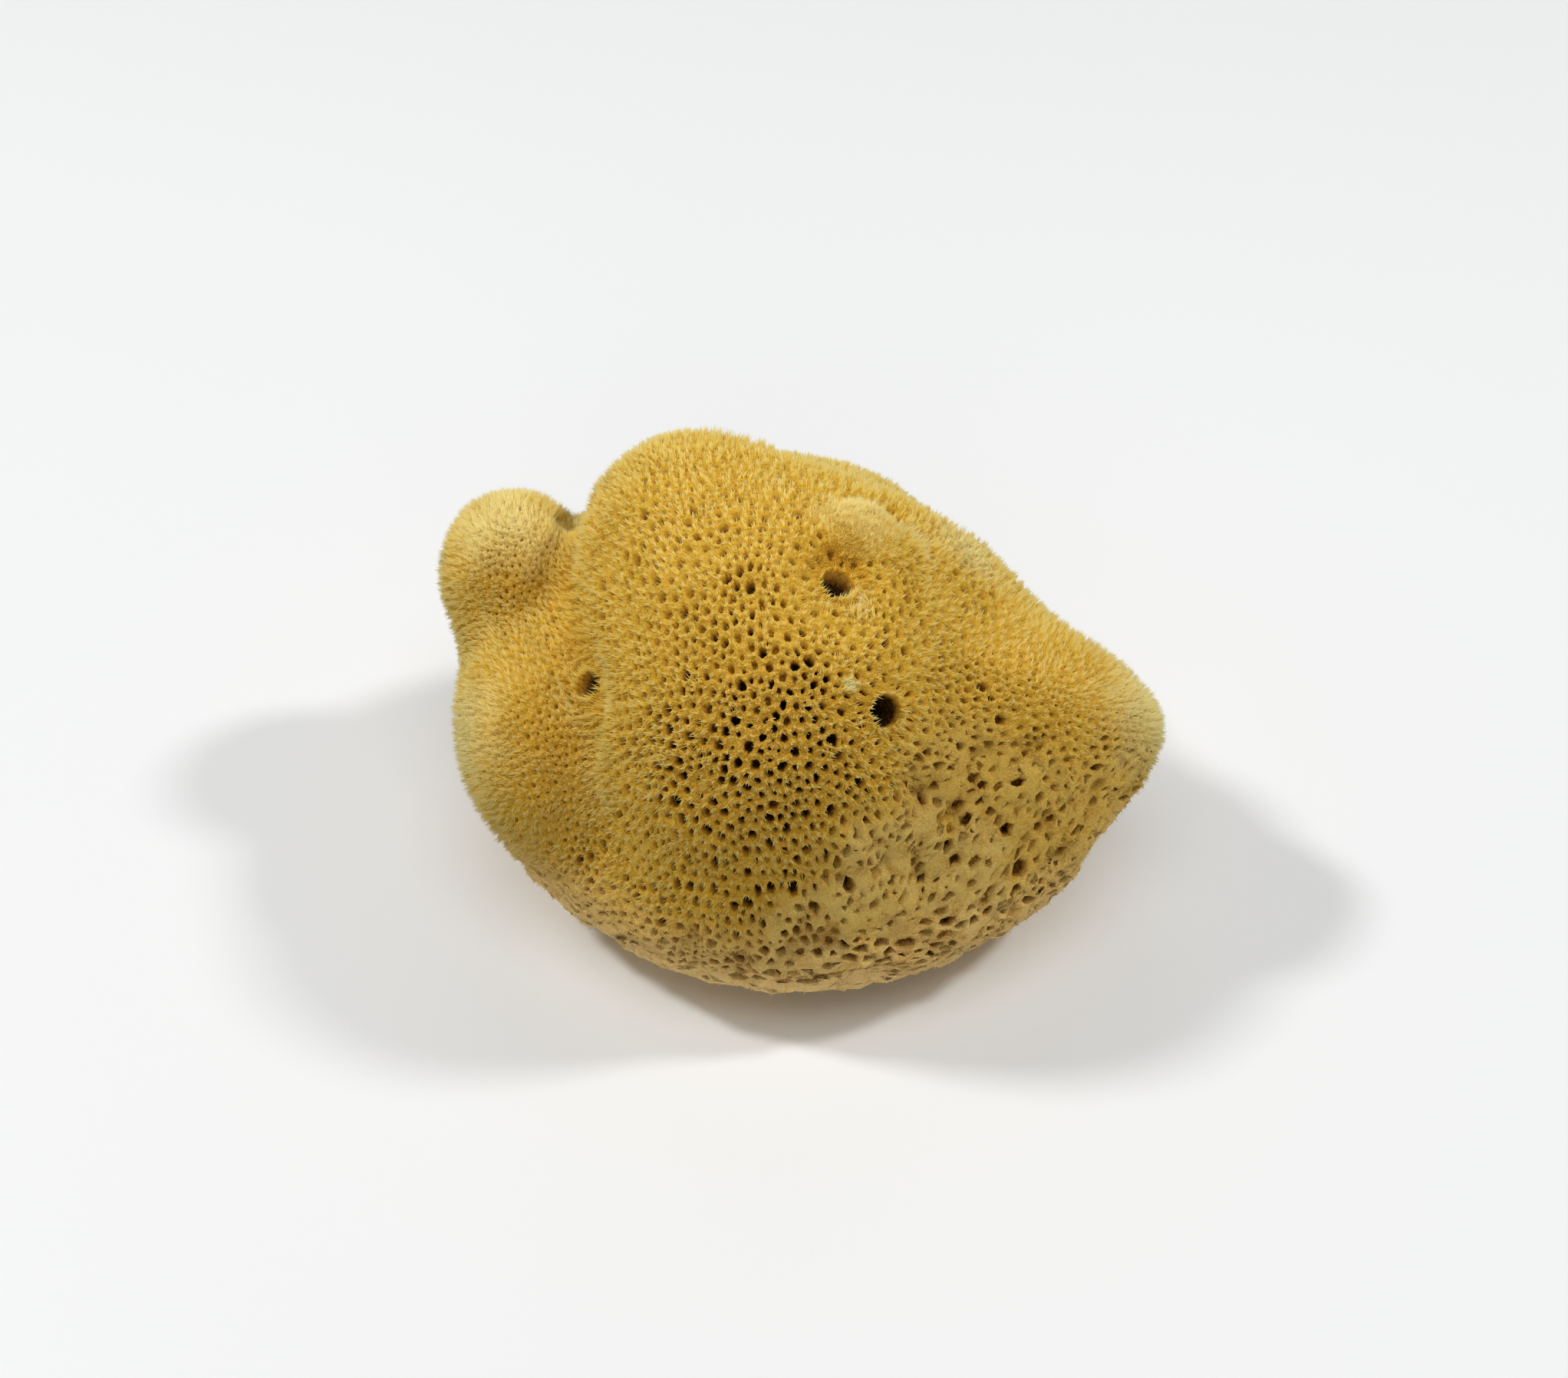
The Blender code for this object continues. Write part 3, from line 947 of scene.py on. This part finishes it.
def nap_material():
    """The fibres: amber at the root and cream at the tip, each a slightly different tint."""
    material, tree, shader = new_material("spongin nap")
    height = remapped(tree, attribute_value(tree, "along"), 0.0, TIP_SHARE, ROOT_HEIGHT, 1.0)
    # The fibres take the painted shade of the funnel, the valley and the pits too.
    colour = spongin_coloured(tree, height, attribute_value(tree, "tone"), "felt", "pale", "painted_shade")
    feed(tree, shader, "Base Color", colour)
    shader.inputs["Roughness"].default_value = NAP_ROUGHNESS
    shader.inputs["Specular IOR Level"].default_value = NAP_GLOSS
    return material


nap_finish = nap_material()
print("material", nap_finish.name)

# %% [markdown]
# ## Open the pores
# A real pore is the mouth of a channel, and where three pores meet, the ridge between them rises to
# a point. Each point of the net becomes a cell by Dual Mesh. The cell is inset, which leaves a ridge
# round it, and pushed in to make a pore that narrows with depth, and the corners of the cells are
# raised. By hand that would be seven thousand times the same work, so a geometry tree does it.

# %% Helpers for the geometry trees
CENTRED = (-0.5, -0.5, -0.5)


def named(tree, name, kind="FLOAT"):
    """Read an attribute inside a geometry tree."""
    return add_node(tree, "GeometryNodeInputNamedAttribute", {"data_type": kind}, Name=name).outputs[0]


def keep_value(tree, geometry, name, value, domain="POINT", kind="FLOAT", **chosen):
    """Store a named attribute inside a geometry tree, and pass the geometry on."""
    settings = {"domain": domain, "data_type": kind}
    node = add_node(tree, "GeometryNodeStoreNamedAttribute", settings, Geometry=geometry, **chosen)
    feed(tree, node, "Name", name)
    feed(tree, node, "Value", value)
    return node.outputs["Geometry"]


def random_number(tree, low, high, seed):
    """A random number for each element, between two limits."""
    node = add_node(tree, "FunctionNodeRandomValue", {"data_type": "FLOAT"}, i2=low, i3=high, Seed=seed)
    return node.outputs[1]


def position(tree):
    return tree.nodes.new("GeometryNodeInputPosition").outputs[0]


def own_normal(tree):
    return tree.nodes.new("GeometryNodeInputNormal").outputs[0]


def noise_shift(tree, scale, detail, amount):
    """A soft random vector that changes with the place."""
    waves = add_node(tree, "ShaderNodeTexNoise", Vector=position(tree), Scale=scale, Detail=detail)
    return scaled(tree, vector_sum(tree, waves.outputs["Color"], CENTRED), amount)


def moved_by(tree, geometry, offset):
    """Move every point by an offset of its own."""
    return add_node(tree, "GeometryNodeSetPosition", Geometry=geometry, Offset=offset).outputs[0]


def above_table(tree, geometry):
    """Lift whatever lies below the table back onto it."""
    place = add_node(tree, "ShaderNodeSeparateXYZ", Vector=position(tree))
    level = maths(tree, "MAXIMUM", place.outputs["Z"], 0.0)
    lifted = add_node(tree, "ShaderNodeCombineXYZ", X=place.outputs["X"], Y=place.outputs["Y"], Z=level)
    return add_node(tree, "GeometryNodeSetPosition", Geometry=geometry, Position=lifted).outputs[0]


def extruded(tree, mesh, selection, offset):
    """Extrude the chosen faces, each by itself."""
    values = {"Mesh": mesh, "Selection": selection, "Offset_Scale": offset}
    return add_node(tree, "GeometryNodeExtrudeMesh", **values).outputs


def shrunk(tree, geometry, selection, scale):
    """Scale the chosen faces about their own middles."""
    values = {"Geometry": geometry, "Selection": selection, "Scale": scale}
    return add_node(tree, "GeometryNodeScaleElements", **values).outputs[0]


# %% The honeycomb tree
TAPER = 0.62
ROUGHNESS = 0.65 * MM
SKIN_SEED = 5
RISE_FROM = 0.3
CRUMPLE_SCALE = 900.0
CRUMPLE_DETAIL = 2.0


def honeycomb_tree():
    """Net in, porous skin out."""
    tree, start, end = new_geometry_tree(
        "honeycomb",
        {
            "Taper": ("NodeSocketFloat", TAPER),
            "Roughness": ("NodeSocketFloat", ROUGHNESS),
            "Seed": ("NodeSocketInt", SKIN_SEED),
            "Finish": ("NodeSocketMaterial", None),
        },
    )
    given = start.outputs
    cells = add_node(tree, "GeometryNodeDualMesh", Mesh=given["Geometry"]).outputs[0]
    rise = product(tree, named(tree, "lift"), random_number(tree, RISE_FROM, 1.0, given["Seed"]))
    raised = moved_by(tree, cells, scaled(tree, own_normal(tree), rise))
    raised = keep_value(tree, raised, "peak", 1.0)
    raised = keep_value(tree, raised, "grow", 1.0, "FACE")
    porous = maths(tree, "GREATER_THAN", named(tree, "open"), OPEN_FROM)
    inset = extruded(tree, raised, porous, 0.0)
    inner = shrunk(tree, inset["Mesh"], inset["Top"], named(tree, "open"))
    inner = keep_value(tree, inner, "peak", 0.0, Selection=inset["Top"])
    depth = named(tree, "depth")
    pushed = extruded(tree, inner, inset["Top"], product(tree, depth, -1.0))
    narrowed = shrunk(tree, pushed["Mesh"], pushed["Top"], given["Taper"])
    # The depth over the dark depth, on a pore's floor, darkens the pore as painted shade.
    sunk = product(tree, maths(tree, "DIVIDE", depth, named(tree, "dark depth")), pushed["Top"])
    inside = maths(tree, "ADD", pushed["Top"], pushed["Side"])
    skin = keep_value(tree, narrowed, "deep", sunk)
    skin = keep_value(tree, skin, "grow", 0.0, "FACE", Selection=inside)
    # The skin keeps the painted shade, and the pale tufts with their painted highlight.
    for name, source in (("felted", "felt"), ("pale_tuft_and_highlight", "pale"), ("skin_painted_shade", "shade")):
        skin = keep_value(tree, skin, name, named(tree, source))
    reach = product(tree, named(tree, "rough"), given["Roughness"])
    rough = moved_by(tree, skin, noise_shift(tree, CRUMPLE_SCALE, CRUMPLE_DETAIL, reach))
    smooth = add_node(tree, "GeometryNodeSetShadeSmooth", Geometry=above_table(tree, rough))
    real = add_node(tree, "GeometryNodeRealizeInstances", Geometry=smooth)
    done = add_node(tree, "GeometryNodeSetMaterial", Geometry=real, Material=given["Finish"])
    feed(tree, end, "Geometry", done)
    return tree


# %% Grow the honeycomb
net_object = link(bpy.data.objects.new("net", net_mesh))
skin_values = {"Taper": TAPER, "Roughness": ROUGHNESS, "Seed": SKIN_SEED, "Finish": skin_finish}
skin_mesh = grown_mesh(net_object, honeycomb_tree(), skin_values, "sponge skin")
skin = link(bpy.data.objects.new("sponge_skin", skin_mesh))
print("skin", len(skin_mesh.vertices), "points", triangle_count(skin_mesh), "triangles")

# %% [markdown]
# ## The nap
# The velvet of the sponge is the free ends of its fibres, up to about two millimetres long. They
# stand in brushes on the raised corners and more thinly on the ridges, lean a little with their
# neighbours, and leave the pores open. Hair would be lost in the export, so each fibre is a small
# closed three-sided spike. Two geometry trees set them out: one puts a brush on every corner, the
# other scatters single fibres. Both go into several pieces.

# %% Parts of both nap trees
NORMAL_SHARE = 0.55
SWAY_SCALE = 160.0
SWAY_DETAIL = 1.0
SWAY = 1.2
FULL_TURN = 6.28
LENGTH_LIMITS = (0.45, 1.15)
THICKNESS_LIMITS = (0.7, 1.2)
SPREAD_SEED = 3.0
NUMBER_SEED = 7.0
LEAN_SEED = 40.0
TONE_SEED = 80.0
NAP_SIZES = ("Amount", "Spread", "Thickness", "Length", "Lean", "Fan", "Root")
NAP_INPUTS = {name: ("NodeSocketFloat", 0.0) for name in NAP_SIZES}
NAP_INPUTS.update({"Seed": ("NodeSocketInt", 0), "Finish": ("NodeSocketMaterial", None)})


def other_seed(tree, given, step):
    """A seed of its own for one random choice."""
    return maths(tree, "ADD", given["Seed"], step)


def random_vector(tree, seed):
    """A random vector for each element, from -1 to 1 along each axis."""
    node = add_node(tree, "FunctionNodeRandomValue", {"data_type": "FLOAT_VECTOR"}, Seed=seed)
    feed(tree, node, 0, (-1.0, -1.0, -1.0))
    feed(tree, node, 1, (1.0, 1.0, 1.0))
    return node.outputs[0]


def along_surface(tree, vector, outward):
    """A vector without its part along the outward direction."""
    dot = add_node(tree, "ShaderNodeVectorMath", {"operation": "DOT_PRODUCT"}, i0=vector, i1=outward)
    against = product(tree, dot.outputs["Value"], -1.0)
    return vector_sum(tree, vector, scaled(tree, outward, against))


def one_spike(tree):
    """A closed three-sided spike of height 1 along Z. 'along' runs from 0 at its root to 1."""
    spike = add_node(
        tree,
        "GeometryNodeMeshCone",
        {"fill_type": "NGON"},
        Vertices=3,
        Radius_Top=0.0,
        Radius_Bottom=1.0,
        Depth=1.0,
    ).outputs["Mesh"]
    height = add_node(tree, "ShaderNodeSeparateXYZ", Vector=position(tree)).outputs["Z"]
    return keep_value(tree, spike, "along", height)


def soft_normals(tree, geometry):
    """Shade the fibres partly like the skin under them, because light passes through a real fibre."""
    smooth = add_node(tree, "GeometryNodeSetShadeSmooth", Geometry=geometry)
    own = scaled(tree, own_normal(tree), 1.0 - NORMAL_SHARE)
    mixed = vector_sum(tree, own, scaled(tree, named(tree, "out", "FLOAT_VECTOR"), NORMAL_SHARE))
    unit = add_node(tree, "ShaderNodeVectorMath", {"operation": "NORMALIZE"}, i0=mixed)
    soft = add_node(tree, "GeometryNodeSetMeshNormal", {"mode": "FREE", "domain": "POINT"}, Mesh=smooth)
    feed(tree, soft, "Custom Normal", unit.outputs["Vector"])
    return soft.outputs[0]


def spike_turn(tree, given, outward):
    """Point a spike outward with some sway and lean, and turn it at random round its own axis."""
    sway = noise_shift(tree, SWAY_SCALE, SWAY_DETAIL, SWAY)
    aside = along_surface(tree, random_vector(tree, other_seed(tree, given, LEAN_SEED)), outward)
    aside = scaled(tree, aside, product(tree, given["Lean"], named(tree, "lean")))
    way = vector_sum(tree, vector_sum(tree, outward, sway), aside)
    stand = add_node(tree, "FunctionNodeAlignRotationToVector", {"axis": "Z"}, Vector=way)
    turn = add_node(tree, "ShaderNodeCombineXYZ", Z=random_number(tree, 0.0, FULL_TURN, given["Seed"]))
    local = {"rotation_space": "LOCAL"}
    return add_node(tree, "FunctionNodeRotateRotation", local, i0=stand, i1=turn).outputs[0]


def spike_size(tree, given):
    """The width and the length of each spike."""
    longer = random_number(tree, *LENGTH_LIMITS, given["Seed"])
    length = product(tree, named(tree, "nap"), longer, given["Length"])
    thicker = random_number(tree, *THICKNESS_LIMITS, given["Seed"])
    thick = product(tree, given["Thickness"], thicker, named(tree, "girth"))
    return add_node(tree, "ShaderNodeCombineXYZ", X=thick, Y=thick, Z=length).outputs[0]


def spikes_on(tree, given, points, outward, end):
    """Stand a spike on every point, and finish the tree."""
    fibres = add_node(
        tree,
        "GeometryNodeInstanceOnPoints",
        Points=points,
        Instance=one_spike(tree),
        Rotation=spike_turn(tree, given, outward),
        Scale=spike_size(tree, given),
    ).outputs[0]
    tone = random_number(tree, 0.0, 1.0, other_seed(tree, given, TONE_SEED))
    fibres = keep_value(tree, fibres, "tone", tone, "INSTANCE")
    real = add_node(tree, "GeometryNodeRealizeInstances", Geometry=fibres).outputs[0]
    soft = soft_normals(tree, above_table(tree, real))
    done = add_node(tree, "GeometryNodeSetMaterial", Geometry=soft, Material=given["Finish"])
    feed(tree, end, "Geometry", done)
    return tree


# %% Brushes on the corners
def brush_tree():
    """Porous skin in, a brush of spikes on every raised corner out."""
    tree, start, end = new_geometry_tree("brushes", NAP_INPUTS)
    given = start.outputs
    corner = maths(tree, "GREATER_THAN", named(tree, "peak"), 0.5)
    roots = add_node(tree, "GeometryNodeMeshToPoints", Mesh=given["Geometry"], Selection=corner)
    wanted = product(tree, named(tree, "brush"), given["Amount"])
    chance = random_number(tree, 0.0, 1.0, other_seed(tree, given, NUMBER_SEED))
    number = maths(tree, "FLOOR", maths(tree, "ADD", wanted, chance))
    many = add_node(tree, "GeometryNodeDuplicateElements", {"domain": "POINT"}, Amount=number)
    feed(tree, many, "Geometry", roots)
    outward = named(tree, "out", "FLOAT_VECTOR")
    aside = along_surface(tree, random_vector(tree, other_seed(tree, given, SPREAD_SEED)), outward)
    shift = vector_sum(tree, scaled(tree, aside, given["Spread"]), scaled(tree, outward, given["Root"]))
    spread = moved_by(tree, many, shift)
    splay = keep_value(tree, spread, "splay", aside, "POINT", "FLOAT_VECTOR")
    fan = scaled(tree, named(tree, "splay", "FLOAT_VECTOR"), given["Fan"])
    return spikes_on(tree, given, splay, vector_sum(tree, outward, fan), end)


brushes = brush_tree()
print("tree", brushes.name, "with", len(brushes.nodes), "nodes")


# %% Single fibres on the ridges
def scatter_tree():
    """Porous skin in, single spikes scattered over its ridges out."""
    tree, start, end = new_geometry_tree("scattered nap", NAP_INPUTS)
    given = start.outputs
    ridge = product(tree, named(tree, "grow"), named(tree, "amount"), named(tree, "peak"))
    density = product(tree, ridge, given["Amount"])
    spots = add_node(tree, "GeometryNodeDistributePointsOnFaces", Density=density, Seed=given["Seed"])
    feed(tree, spots, "Mesh", given["Geometry"])
    outward = named(tree, "out", "FLOAT_VECTOR")
    sunk = moved_by(tree, spots.outputs["Points"], scaled(tree, outward, given["Root"]))
    return spikes_on(tree, given, sunk, outward, end)


scattered = scatter_tree()
print("tree", scattered.name, "with", len(scattered.nodes), "nodes")

# %% Grow the nap
# Each piece: name, tree, amount, spread, thickness, length, lean, fan and root. The amount is a
# number of fibres for a corner in the brushes, and for a square metre in the scattered pieces.
ROOT = -0.12 * MM
NAP_SEED = 100
NAP_PIECES = (
    ("points", brushes, 2.0, 0.05 * MM, 0.17 * MM, 0.90, 0.25, 0.0, ROOT),
    ("brushes a", brushes, 4.4, 0.30 * MM, 0.078 * MM, 1.0, 0.35, -0.25, ROOT),
    ("brushes b", brushes, 4.7, 0.40 * MM, 0.072 * MM, 0.9, 0.32, -0.20, ROOT),
    ("scattered a", scattered, 5.2e6, 0.0, 0.070 * MM, 0.85, 0.45, 0.0, ROOT),
    ("scattered b", scattered, 5.2e6, 0.0, 0.065 * MM, 0.70, 0.60, 0.0, ROOT),
)

pieces = [skin]
for number, (label, tree, *sizes) in enumerate(NAP_PIECES):
    values = dict(zip(NAP_SIZES, sizes))
    values.update({"Seed": NAP_SEED + number, "Finish": nap_finish})
    mesh = grown_mesh(skin, tree, values, f"nap {label}")
    pieces.append(link(bpy.data.objects.new(f"nap_{number + 1}", mesh)))
    print("nap", label, triangle_count(mesh), "triangles")

# %% [markdown]
# ## The table
# The sponge lies on a plain near-white table, larger than the view. It could be a curved studio
# backdrop, but a flat square is enough from this height. It is a stage piece, not part of the
# object.

# %% Table
TABLE_HALF = 3.0
TABLE_WHITE = (0.88, 0.885, 0.885, 1.0)
TABLE_ROUGHNESS = 0.45

corners = [(x * TABLE_HALF, y * TABLE_HALF, 0.0) for x, y in ((-1, -1), (1, -1), (1, 1), (-1, 1))]
table_mesh = bpy.data.meshes.new("table")
table_mesh.from_pydata(corners, [], [(0, 1, 2, 3)])
floor = link(bpy.data.objects.new("table", table_mesh))
table_finish, _, table_shader = new_material("white table")
table_shader.inputs["Base Color"].default_value = TABLE_WHITE
table_shader.inputs["Roughness"].default_value = TABLE_ROUGHNESS
table_mesh.materials.append(table_finish)
print("table", 2.0 * TABLE_HALF, "m wide")

# %% [markdown]
# ## Ride on the body
# Every piece rides on the one body and stands for the CAD node, which is hidden.

# %% Ride, replace and finish
bpy.data.objects.remove(net_object, do_unlink=True)
bpy.data.objects.remove(body, do_unlink=True)
for piece in pieces:
    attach(piece, "root")
    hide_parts("sponge")
